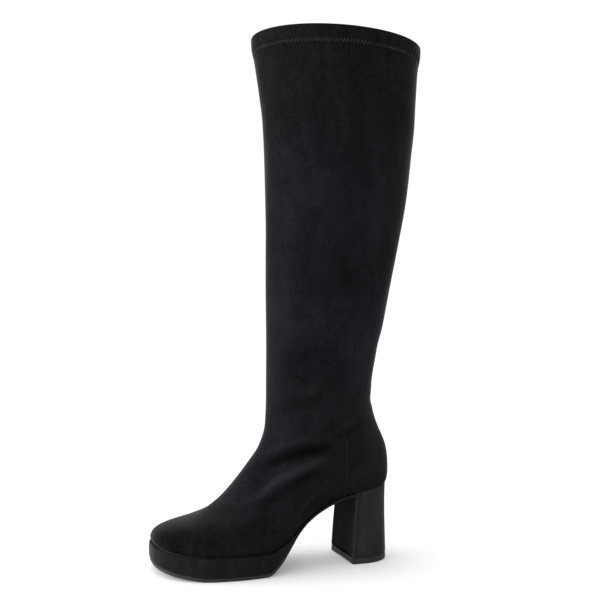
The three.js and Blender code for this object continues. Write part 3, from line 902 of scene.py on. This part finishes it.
@dataclass
class Upper:
    """Stretch suede upper: foot and shaft in one wall, with a folded hem and a lining."""

    last: Last
    hem: Hem
    wall: float = 1.8
    rim_radius: float = 1.55
    tuck: float = 1.35
    columns: int = 280
    climbs: int = 168
    inner_climbs: int = 78
    roll_steps: int = 8
    hem_step: float = 0.45
    pucker: float = 0.2
    pucker_pitch: float = 6.5
    pucker_drift: float = 1.3
    pucker_drop: float = 14.0
    pucker_spread: float = 8.0
    slack: float = 0.35
    slack_waves: int = 5
    slack_climb: float = 26.0
    slack_drops: tuple[float, float, float, float] = (12.0, 60.0, 240.0, 330.0)
    crowd: float = 0.11
    tuck_levels: tuple[float, ...] = (0.04, 0.09, 0.15, 0.22, 0.3, 0.4)
    tuck_fade: float = 0.13
    # Painted shade along the crevice over the platform: its strength and the rings over which it fades
    crevice_shade: float = 0.95
    crevice_shade_levels: float = 0.26

    def _rows(self) -> list[Row]:
        """Rows of the wall, up its outer face, over the rim and down its inner face.

        Returns:
            The rows, the last one the same as the first.
        """
        last, hem = self.last, self.hem

        def row(drop: float, out: float, **kind: bool) -> Row:
            """Row at a drop below the rim."""
            return Row(float(last.level_at(last.height - drop)), out, **kind)

        lowest = Row(0.0, -self.tuck, outer=True)
        rows = [lowest]
        for climb in self.tuck_levels:
            rows.append(Row(climb, -self.tuck * math.exp(-climb / self.tuck_fade), outer=True))
        below = row(hem.depth + 2.0, 0.0).level
        rows += [Row(step, 0.0, outer=True) for step in last.even_levels(self.climbs) if 0.5 < step < below]
        drops = np.concatenate((np.arange(hem.depth + 1.5, hem.depth - 5, -self.hem_step),
                                np.linspace(hem.depth - 5.3, self.rim_radius, 8)[:-1]))
        rows += [row(drop, 0.0, outer=True) for drop in drops]
        proud = float(hem.out(self.rim_radius))
        for turn in np.linspace(0, math.pi, self.roll_steps + 1):
            drop, inwards = 1 - math.sin(turn), 1 - math.cos(turn)
            rows.append(row(self.rim_radius * drop, proud - self.rim_radius * inwards))
        inside = proud - 2 * self.rim_radius
        rows += [row(drop, inside) for drop in np.linspace(self.rim_radius + 2, hem.depth - 1, 6)]
        rows.append(row(hem.depth - 0.2, (inside - self.wall) / 2, lined=True))
        under = row(hem.depth + 0.6, 0.0).level
        down = last.even_levels(self.inner_climbs)[::-1]
        rows += [Row(step, -self.wall, lined=True) for step in down if step < under]
        rows.append(lowest)
        return rows

    def _trim(self, drop: np.ndarray, turns: np.ndarray) -> np.ndarray:
        """The hem, its puckers and the slack waves of the shaft below it.

        Args:
            drop: Distances below the rim.
            turns: Share of a full turn of each column.

        Returns:
            Distances outwards in millimetres.
        """
        last = self.last
        collar = math.pi * (last.collar_depth + last.collar_width) / 2
        around = 2 * math.pi * round(collar / self.pucker_pitch)
        waves = np.sin(turns * around + self.pucker_drift * np.sin(turns * 12 * math.pi))
        waves = waves * np.exp(-(((drop - self.pucker_drop) / self.pucker_spread) ** 2))
        sway = np.sin(turns * 2 * self.slack_waves * math.pi + drop / self.slack_climb)
        start, full, fade, end = self.slack_drops
        sway = sway * ease(drop, start, full) * ease(-drop, -end, -fade)
        return self.hem.out(drop) + self.pucker * waves + self.slack * sway

    def build(self) -> bmesh.types.BMesh:
        """Closed wall of the upper.

        Returns:
            The mesh, with the suede as finish 0 and the lining as finish 1.
        """
        rows = self._rows()
        levels, out, outer = np.array([row[:3] for row in rows], dtype=float).T[:, :, None]
        turns = np.linspace(0, 1, self.columns + 1)[None, :]
        angles = 2 * math.pi * turns - self.crowd * np.sin(4 * math.pi * turns)
        angles[0, -1] = 0.0
        plain = self.last.point(levels, angles, 0.0)
        # Painted highlight on the folds' ridges and painted shade in their troughs, less a band of painted
        # shade along the crevice at the feather line
        lifts = [(fold.painted_light, fold.lift(plain) * ease(levels, 0.0, 1.0)) for fold in FOLDS]
        folds = sum(lift for _, lift in lifts)
        painted_lights = sum(painted_light * lift for painted_light, lift in lifts)
        trim = self._trim(self.last.height - plain[..., 2], turns) * outer
        points = self.last.point(levels, angles, out + folds + trim)
        crevice_shade = self.crevice_shade * np.exp(-((levels / self.crevice_shade_levels) ** 2))
        return wrap(points, lambda row, column: int(rows[row].lined), painted_lights - crevice_shade)


@dataclass
class SideSeam:
    """Raised seam that joins vamp and heel part on one side: a lapped edge beside a sunk line."""

    last: Last
    side: int
    place: float = 54.2
    top: float = 114.0
    sway: float = 1.0
    sway_turns: float = 9.0
    sway_start: float = 0.6
    half: float = 1.4
    taper: float = 0.93
    steps: int = 70
    across: tuple[tuple[float, float], ...] = (
        (-1.0, -0.5), (-1.0, 0.1), (-0.72, 0.5), (-0.42, 0.72), (-0.12, 0.78), (0.16, 0.7), (0.38, 0.34),
        (0.5, 0.04), (0.62, 0.02), (0.8, 0.16), (0.92, 0.1), (1.0, -0.1), (1.0, -0.5), (-1.0, -0.5),
    )
    painted_light: float = 0.16

    def build(self) -> bmesh.types.BMesh:
        """Closed strip that lies on the upper.

        Returns:
            The mesh.
        """
        last = self.last
        probe = np.linspace(0, len(FOOT_RINGS["up"]), 400)
        climb = last.bare(probe, last.angle_at(probe, self.place))[:, 2]
        low = last.level_at(0) + 0.02
        high = np.interp(self.top, climb, probe)
        levels = np.linspace(low, high, self.steps)[:, None]
        part = (levels - low) / (high - low)
        offset, lift = np.array(self.across).T[:, None, :]
        narrow = 1 - ease(part, self.taper, 1.0) * 0.9
        line = self.place + self.sway * np.sin(part * self.sway_turns + self.sway_start) * part
        angles = last.angle_at(levels, line + offset * self.half * narrow) * self.side
        points = last.point(levels, angles, lift * (1 - 0.5 * ease(part, 0.9, 1.0)))
        tips = np.broadcast_to(points.mean(axis=1, keepdims=True), points.shape)
        # Painted highlight on the lapped edge and painted shade in the sunk line
        painted_light = self.painted_light * np.where(lift > 0.3, 0.8, -1.0)
        return wrap(np.concatenate((tips[:1], points, tips[-1:])), painted_light=painted_light)


@dataclass
class HemStitches:
    """Zigzag stitching round the hem, just above its lower edge."""

    last: Last
    hem: Hem
    tall: float = 3.0
    pitch: float = 3.4
    thread: float = 0.13
    lean: float = 0.16

    def _seat(self, drop: np.ndarray | float, turns: np.ndarray) -> np.ndarray:
        """Points on which the thread lies, at drops below the rim and angles round the collar."""
        proud = self.hem.out(drop) + self.hem.pinch / 2 + self.thread / 2
        return self.last.point(self.last.level_at(self.last.height - drop), turns, proud)

    def build(self) -> bmesh.types.BMesh:
        """All strokes of thread as one mesh.

        Returns:
            The mesh.
        """
        angles = np.linspace(0, 2 * math.pi, 1441)
        line = self._seat(np.full_like(angles, self.hem.line), angles)
        run = run_along(line)
        count = 2 * round(run[-1] / self.pitch)
        places = np.linspace(0, run[-1], count + 1)
        places[1::2] -= self.lean * self.pitch
        turns = np.interp(places, run, angles)
        drops = self.hem.line + np.where(np.arange(count + 1) % 2, -self.tall / 2, self.tall / 2)
        ends = to_frame(self._seat(drops, turns))
        form = bmesh.new()
        radius = self.thread * METRE
        for start, end in zip(ends[:-1], ends[1:]):
            low, high = Vector(start), Vector(end)
            turn = (high - low).to_track_quat("Z", "Y").to_matrix().to_4x4()
            bmesh.ops.create_cone(form, cap_ends=True, segments=6, radius1=radius, radius2=radius * 0.8,
                                  depth=(high - low).length + radius,
                                  matrix=Matrix.Translation((low + high) / 2) @ turn)
        return form


@dataclass
class Slab:
    """Part of the sole that is cut from the sole's outline between two faces."""

    last: Last
    start: float
    ledge: float
    draw: float
    rows: Table
    low: Callable[[np.ndarray], np.ndarray]
    high: Callable[[np.ndarray], np.ndarray]
    valley: float = 0.0
    valley_power: int = 60
    valley_share: float = 0.4
    valley_ends: tuple[float, float] = (0.4, 2.4)
    # Painted shade on the slab toward its back, none at the first of shade_ends and full at the second
    shade: float = 0.0
    shade_ends: tuple[float, float] = (132.0, 104.0)
    bend: float = 170.0
    nose_steps: int = 44
    step: float = 2.2
    crosses: tuple[float, ...] = (0.975, 0.95, 0.9, 0.75, 0.5, 0.25, 0.0)

    def _stations(self, out: float) -> np.ndarray:
        """Lengths from the toe's tip back to the start, closer together round the toe.

        Args:
            out: How far the edge stands outside the last.

        Returns:
            The lengths, falling.
        """
        tip = self.last.front + out
        nose = tip - (tip - self.bend) * (1 - np.cos(np.linspace(0, math.pi / 2, self.nose_steps + 1)))
        body = np.linspace(self.bend, self.start, int((self.bend - self.start) / self.step) + 1)[1:]
        return np.concatenate((nose, body))

    def build(self) -> bmesh.types.BMesh:
        """Closed slab.

        Returns:
            The mesh.
        """
        ups = np.array(self.rows["up"], dtype=float)
        outs = self.ledge - self.draw * np.array(self.rows["draw"], dtype=float)
        sides = list(zip(ups, outs))
        across = [*self.crosses, *(-share for share in self.crosses[-2::-1])]
        loop = [(up, out, 1.0, 0.0) for up, out in sides]
        for share in across:
            loop.append((1.0, outs[-1], share, self.valley * (1 - abs(share) ** self.valley_power)))
        loop += [(up, out, -1.0, 0.0) for up, out in reversed(sides)]
        loop += [(0.0, outs[0], share, 0.0) for share in reversed(across)]
        loop.append(loop[0])
        lines = []
        for up, out, share, dip in loop:
            x = self._stations(out)
            outer, inner = self.last.edge(x, 1, out), self.last.edge(x, -1, out)
            y = (outer + inner) / 2 + (outer - inner) / 2 * share
            y = np.append(y, (outer[-1] + inner[-1]) / 2)
            x = np.append(x, x[-1])
            low, high = self.low(x), self.high(x)
            dips = np.minimum(dip, (high - low) * self.valley_share) * ease(x[0] - x, *self.valley_ends)
            lines.append(np.stack((x, y, low + (high - low) * up - dips), axis=-1))
        points = np.stack(lines)
        # Painted shade on the sole behind the waist
        light, dark = self.shade_ends
        return wrap(points, painted_light=-self.shade * ease(-points[..., 0], -light, -dark))


@dataclass
class Heel:
    """Block heel covered in suede, with a hollow breast, and the rubber top piece that it stands on."""

    last: Last
    back: float = 5.0
    length: float = 41.5
    width: float = 57.0
    corner: float = 1.3
    round_share: float = 0.72
    hollow: float = 2.0
    top_piece: float = 5.7
    cover_seam: float = 3.6
    seam_depth: float = 0.25
    seam_width: float = 0.5
    seam_steps: tuple[float, ...] = (1.5, 0.7, 0.3, 0.0, -0.3, -0.7, -1.5)
    # Shares of the painted shade across the cover's seam groove, then of the painted highlight round the
    # breast's corners
    seam_tones: tuple[float, ...] = (0.0, 0.2, 0.7, 1.0, 0.7, 0.2, 0.0)
    corner_tones: tuple[float, ...] = (0.0, 0.5, 1.0, 0.5, 0.0, 0.0)
    breast_strips: int = 13
    side_gap: float = 1.6
    side_steps: int = 9
    tail_share: float = 0.4
    tail_steps: int = 25
    fills: tuple[float, ...] = (0.0, 0.4, 0.75, 0.93)
    # Strength of the painted highlight on the breast's corners and of the painted shade in the seam groove
    corner_highlight: float = 0.22
    seam_shade: float = -0.4

    def __post_init__(self) -> None:
        """Lays the smooth curves through the heel's table."""
        self.form = tracks(HEEL_ROWS, "up")

    def _outline(self, share: float, inset: float, seam: float) -> np.ndarray:
        """Closed outline at a share of the heel's height, from the breast's middle round the outer side.

        Args:
            share: Share of the height.
            inset: How far the outline is drawn in.
            seam: Depth of the cover's seam.

        Returns:
            Points as x and y.
        """
        half = self.width / 2 * float(self.form.width(share)) - inset
        back = self.back + self.length * float(self.form.back(share)) + inset
        breast = self.back + self.length * (1 + float(self.form.breast(share))) - inset
        flat = half - self.corner
        face = np.linspace(0, flat, self.breast_strips + 1)
        hollow = breast - self.hollow * (1 - (face / half) ** 2)
        bend = np.linspace(0, math.pi / 2, len(self.corner_tones) + 1)[1:]
        centre = hollow[-1] - self.corner
        turn_x = centre + self.corner * np.cos(bend)
        turn_y = flat + self.corner * np.sin(bend)
        seam_at = centre - self.cover_seam + self.corner
        near = seam_at + np.array(self.seam_steps)
        tail_start = back + (near[-1] - back) * self.tail_share
        far = np.linspace(near[-1] - self.side_gap, tail_start, self.side_steps)
        tail = back + (far[-1] - back) * (1 - np.sin(np.linspace(0, math.pi / 2, self.tail_steps + 1)))[1:]
        side = np.concatenate((near, far, tail))
        depth = breast - back
        wide = half * round_end(side - back, np.array(depth * self.round_share), np.array(2.0))
        groove = seam * np.exp(-(((side - seam_at) / self.seam_width) ** 2))
        x = np.concatenate((hollow, turn_x, side))
        y = np.concatenate((face, turn_y, wide - groove))
        return np.stack((np.concatenate((x, x[-2::-1])), np.concatenate((y, -y[-2::-1]))), axis=-1)

    def _painted_light(self) -> np.ndarray:
        """Painted light of the cover round its outline: a painted highlight on the breast's corners and
        painted shade in the seam grooves.

        Returns:
            One value for each point of an outline.
        """
        corner = np.array(self.corner_tones) * self.corner_highlight
        seam = np.array(self.seam_tones) * self.seam_shade
        breast, rest = np.zeros(self.breast_strips + 1), np.zeros(self.side_steps + self.tail_steps)
        half = np.concatenate((breast, corner, seam, rest))
        return np.concatenate((half, half[-2::-1]))

    def _block(
        self, rows: Sequence[tuple[float, float, float]], height: Heights, seam: float = 0.0
    ) -> bmesh.types.BMesh:
        """Closed block through outlines, with both its ends closed across.

        Args:
            rows: Share of the heel's height, inset and height for each outline.
            height: Gives the height of points from their lengths and a row's height.
            seam: Depth of the cover's seam.

        Returns:
            The mesh.
        """
        loops = [(self._outline(share, inset, seam), level) for share, inset, level in rows]
        lines = [(loops[0][0] * (1, fill), loops[0][1]) for fill in self.fills]
        lines += loops
        lines += [(loops[-1][0] * (1, fill), loops[-1][1]) for fill in reversed(self.fills)]
        points = np.stack([np.column_stack((line, height(line[:, 0], level))) for line, level in lines])
        if not seam:
            return wrap(points)
        first = self.breast_strips
        final = points.shape[1] - 2 - first
        return wrap(points, lambda row, column: int(column < first or column > final), self._painted_light())

    def build_block(self) -> bmesh.types.BMesh:
        """Suede-covered block between the top piece and the seat.

        Returns:
            The mesh, with the cover as finish 0 and the breast as finish 1.
        """
        low = self.top_piece + self.last.gap
        ups = [(0.0, 0.75), (0.003, 0.42), (0.009, 0.18), (0.018, 0.04), (0.03, 0.0)]
        ups += [(up, 0.0) for up in np.linspace(0.06, 0.97, 30)]
        ups += [(0.984, 0.08), (0.994, 0.25), (1.0, 0.55)]
        rows = [(up, inset, up) for up, inset in ups]
        return self._block(rows, lambda x, up: low + (self.last.seat(x) - low) * up, self.seam_depth)

    def build_top_piece(self) -> bmesh.types.BMesh:
        """Rubber top piece with a small bevel at the floor and a softened upper edge."""
        rows = [(0.0, 0.8, 0.0), (0.0, 0.5, 0.16), (0.0, 0.28, 0.45), (0.0, 0.2, 0.8), (0.0, 0.16, 2.2),
                (0.0, 0.16, 3.6), (0.0, 0.2, 5.1), (0.0, 0.3, 5.5), (0.0, 0.55, self.top_piece)]
        return self._block(rows, np.full_like)


@dataclass
class Insole:
    """Lining-covered insole in the upper's lower opening, crowned a little under the arch."""

    last: Last
    wall: float = 1.8
    gaps: float = 2.5
    thick: float = 2.4
    columns: int = 160

    def build(self) -> bmesh.types.BMesh:
        """Closed sheet that follows the last's bottom.

        Returns:
            The mesh.
        """
        last = self.last
        inset = self.wall + last.gap * self.gaps
        angles = np.linspace(0, 2 * math.pi, self.columns + 1)
        angles[-1] = 0.0
        zero = np.zeros_like(angles)
        rim, inner = last.point(zero, angles, 0.0), last.point(zero, angles, -inset)
        away = (inner - rim)[:, :2]
        length = np.linalg.norm(away, axis=1, keepdims=True)
        flat = inner[:, :2] + away / length * np.maximum(0, inset - length)
        middle = (flat + flat[::-1]) / 2
        low, high = last.gap / 2, last.gap / 2 + self.thick
        rows = [(0.0, low), (0.5, low), (0.85, low), (0.99, low), (1.0, low + 0.2), (1.0, high - 0.5),
                (0.985, high - 0.1), (0.95, high), (0.8, high), (0.5, high), (0.2, high), (0.0, high)]
        lines = []
        for share, lift in rows:
            place = middle + (flat - middle) * share
            lines.append(np.column_stack((place, last.feather(place[:, 0]) + lift)))
        return wrap(np.stack(lines))


@dataclass
class Boot:
    """The whole boot: makes each piece, dresses it and seats it in the frame."""

    last: Last
    ledge: float = 2.4
    platform_edge: float = 0.9
    outsole_bevel: float = 1.2
    platform_start: float = 105.0
    crisp: float = 42.0

    def _add(
        self,
        form: bmesh.types.BMesh,
        name: str,
        finishes: Sequence[bpy.types.Material],
        slot: Slot,
        *nodes: str,
    ) -> None:
        """Makes a piece of a mesh and seats it in the frame.

        Args:
            form: The mesh, which is used up.
            name: The piece's name.
            finishes: Its materials by number.
            slot: The slot that is named in the log for it.
            nodes: Nodes of the frame that it stands for.
        """
        piece = put_form(name, form, finishes)
        piece.data.shade_smooth()
        piece.data.set_sharp_from_angle(angle=math.radians(self.crisp))
        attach(piece, "root")
        if nodes:
            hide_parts(*nodes)
        piece.data.calc_loop_triangles()
        LOG.info("%s: %d triangles, %s", name, len(piece.data.loop_triangles), slot.value)

    def build(self) -> None:
        """Builds and dresses all pieces."""
        last = self.last
        suede = Suede("black_microsuede", deep=(0.0026, 0.0025, 0.0027), worn=(0.0140, 0.0138, 0.0142),
                      tone_and_painted_light=PAINTED_LIGHT_PATCHES, cooled=COOLED).material()
        taut = Suede("platform_microsuede", deep=grey(0.0062), worn=(0.0178, 0.0177, 0.0176)).material()
        # The heel's cover is a lighter copy of the suede, painted light on the heel's side, with a painted
        # highlight at its corners
        cover = Suede("heel_microsuede_lit", deep=(0.014, 0.0139, 0.0138), worn=(0.033, 0.0329, 0.0327),
                      hollow=grey(0.001), painted_highlight=grey(0.06)).material()
        # The breast is a darker copy of the suede with little sheen: painted shade on the heel's breast
        breast = Suede("breast_microsuede_shaded", deep=(0.0042, 0.0041, 0.0041), worn=(0.0120, 0.0119, 0.0118),
                       sheen=0.03).material()
        lining = Lining().material()
        thread = Thread().material()
        sole = Rubber("sole_rubber", deep=grey(0.024), dusty=grey(0.062), shine=0.5).material()
        lift = Rubber("top_piece_rubber", deep=grey(0.02), dusty=grey(0.05), shine=0.55).material()
        hem = Hem()
        self._add(Upper(last, hem).build(), "upper_suede", (suede, lining), Slot.SUEDE, "upper")
        for name, side in (("outer", 1), ("inner", -1)):
            self._add(SideSeam(last, side).build(), f"side_seam_{name}", (suede,), Slot.SUEDE)
        self._add(HemStitches(last, hem).build(), "hem_stitches", (thread,), Slot.SUEDE)
        self._add(Insole(last).build(), "insole_lining", (lining,), Slot.LINING, "insole")
        platform = Slab(last, self.platform_start, self.ledge, self.platform_edge, PLATFORM_ROWS,
                        lambda x: last.outsole_top(x) + last.feather(x) - last.seat(x), last.seat,
                        valley=1.6)
        self._add(platform.build(), "platform_cover", (taut,), Slot.SUEDE, "platform")
        heel = Heel(last)
        stop = heel.back + heel.length * (1 + float(heel.form.breast(1))) + last.gap
        outsole = Slab(last, stop, self.ledge - self.platform_edge, self.outsole_bevel, OUTSOLE_ROWS,
                       last.under, last.outsole_top, shade=0.9)
        self._add(outsole.build(), "outsole_rubber", (sole,), Slot.RUBBER, "outsole")
        self._add(heel.build_block(), "heel_cover", (cover, breast), Slot.SUEDE, "heel")
        self._add(heel.build_top_piece(), "top_piece_rubber", (lift,), Slot.RUBBER, "top_piece")


@dataclass
class Softbox:
    """Broad light that faces a target."""

    name: str
    place: Place
    size: tuple[float, float]
    power: float
    target: Place = (0.0, 0.0, 0.22)

    def add(self) -> None:
        """Hangs the light, unseen by the camera."""
        light = bpy.data.lights.new(self.name, "AREA")
        light.shape = "RECTANGLE"
        light.size, light.size_y = self.size
        light.energy = self.power
        lamp = put(self.name, light)
        lamp.location = self.place
        lamp.rotation_euler = (Vector(self.target) - Vector(self.place)).to_track_quat("-Z", "Y").to_euler()
        lamp.visible_camera = False


@dataclass
class Studio:
    """Pale floor, soft light and the camera at the photo's angle."""

    floor_reach: float = 14.0
    floor_colour: Colour = grey(0.76)
    floor_mist: float = 0.985
    floor_glow: float = 0.2
    sky: float = 1.05
    slant: Place = (0.76, -0.42, 0.1)
    eye: Place = (0.2266, 0.749, 0.195)
    yaw: float = 17.3
    pitch: float = 3.36
    lens: float = 50.1
    sensor: float = 36.0
    sight: float = 60.0

    def _floor(self) -> None:
        """Lays the floor."""
        form = bmesh.new()
        bmesh.ops.create_grid(form, x_segments=8, y_segments=8, size=self.floor_reach)
        paint = Paint(bpy.data.materials.new("pale_floor"))
        mist = paint.noise(paint.place(), 3.0, 2.0)
        shade = tuple(value * self.floor_mist for value in self.floor_colour)
        finish = paint.surface({
            "Base Color": paint.blend(mist, shade, self.floor_colour), "Roughness": 0.9,
            "Emission Color": WHITE, "Emission Strength": self.floor_glow,
        })
        put_form("studio_floor", form, (finish,))

    def _light(self) -> None:
        """Lights the backdrop, slanted for all but the camera, and hangs the soft boxes."""
        world = bpy.data.worlds.new("studio")
        paint = Paint(world)
        where = paint.node("ShaderNodeTexCoord", {}, "Generated")
        inputs = {0: where, 1: self.slant}
        slant = paint.node("ShaderNodeVectorMath", inputs, "Value", operation="DOT_PRODUCT")
        seen = paint.node("ShaderNodeLightPath", {}, "Is Camera Ray")
        strength = paint.node("ShaderNodeMix", {0: seen, 2: slant + self.sky, 3: self.sky})
        backdrop = paint.node("ShaderNodeBackground", {"Color": WHITE, "Strength": strength})
        paint.close("ShaderNodeOutputWorld", backdrop)
        bpy.context.scene.world = world
        Softbox("toe_side", (1.6, -0.1, 0.3), (1.2, 1.8), 27.0).add()
        Softbox("heel_side", (-1.6, 0.3, 0.2), (1.0, 1.4), 2.6).add()
        Softbox("overhead", (0.1, 0.3, 2.2), (2.0, 2.0), 6.0).add()

    def _camera(self) -> None:
        """Places the camera."""
        yaw, pitch = math.radians(self.yaw), math.radians(self.pitch)
        look = Vector((-math.sin(yaw) * math.cos(pitch), -math.cos(yaw) * math.cos(pitch), math.sin(pitch)))
        lens = bpy.data.cameras.new("camera")
        lens.sensor_fit = "HORIZONTAL"
        lens.sensor_width = self.sensor
        lens.lens = self.lens
        lens.clip_end = self.sight
        camera = put("camera", lens)
        camera.location = self.eye
        camera.rotation_euler = look.to_track_quat("-Z", "Y").to_euler()
        bpy.context.scene.camera = camera

    def build(self) -> None:
        """Sets the whole studio up."""
        self._floor()
        self._light()
        self._camera()
        bpy.context.scene.view_settings.view_transform = "Standard"


def main() -> None:
    """Loads the frame and builds the studio and the boot."""
    logging.basicConfig(level=logging.INFO, format="%(name)s: %(message)s")
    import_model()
    Studio().build()
    Boot(Last()).build()


if __name__ == "__main__":
    main()
